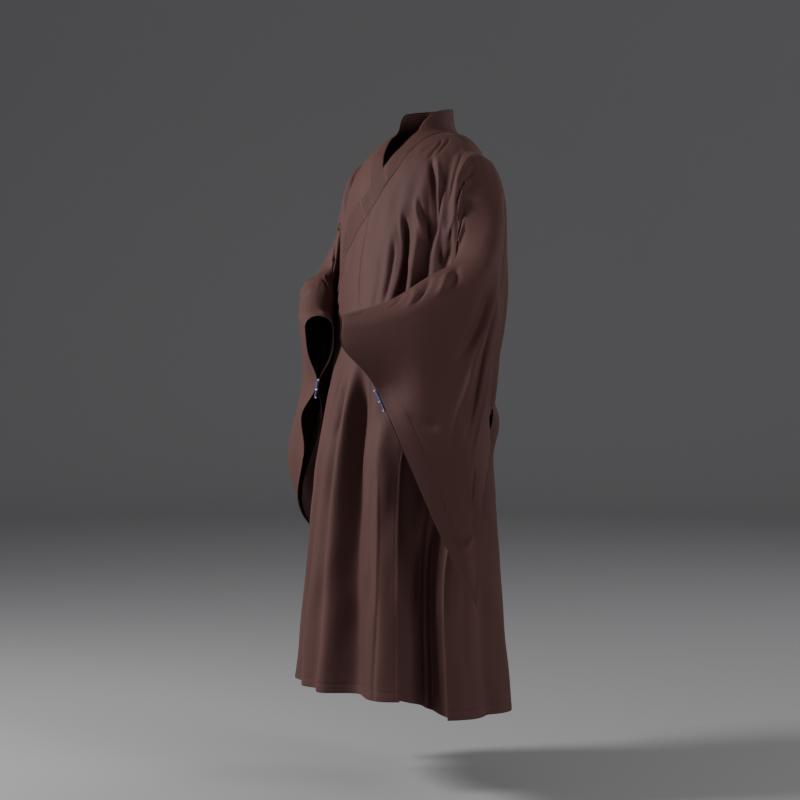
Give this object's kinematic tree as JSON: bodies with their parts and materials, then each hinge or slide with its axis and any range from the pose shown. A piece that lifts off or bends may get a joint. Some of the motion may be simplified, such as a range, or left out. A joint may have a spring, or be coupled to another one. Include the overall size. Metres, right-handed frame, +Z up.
{
  "type": "buddhist monk robe",
  "caption": "Long wrapped robe with a crossed collar band, deep bag sleeves held to the front as worn, pleated side vents and a blue cord at each cuff.",
  "frame": {"origin": "where the robe hangs on the wearer's shoulders, on the middle line at the height of the neck seam's lowest point at the nape", "axes": "+Z up, -Y the way the wearer faces, +X towards the wearer's left"},
  "size_m": [0.6676, 0.4633, 1.3631],
  "materials": {
    "brown_cloth": "smooth dark brown plain weave",
    "collar_cloth": "the same cloth, doubled and closely stitched",
    "blue_cord": "twisted dark blue cord"
  },
  "bodies": {
    "root": {"back_left": "brown_cloth", "back_right": "brown_cloth", "collar_left": "collar_cloth", "collar_right": "collar_cloth", "cuff_tie_left": "blue_cord", "cuff_tie_right": "blue_cord", "front_left": "brown_cloth", "front_overlap": "brown_cloth", "front_right": "brown_cloth", "pleat_left": "brown_cloth", "pleat_right": "brown_cloth", "sleeve_left_back": "brown_cloth", "sleeve_left_front": "brown_cloth", "sleeve_right_back": "brown_cloth", "sleeve_right_front": "brown_cloth"}
  },
  "joints": []
}
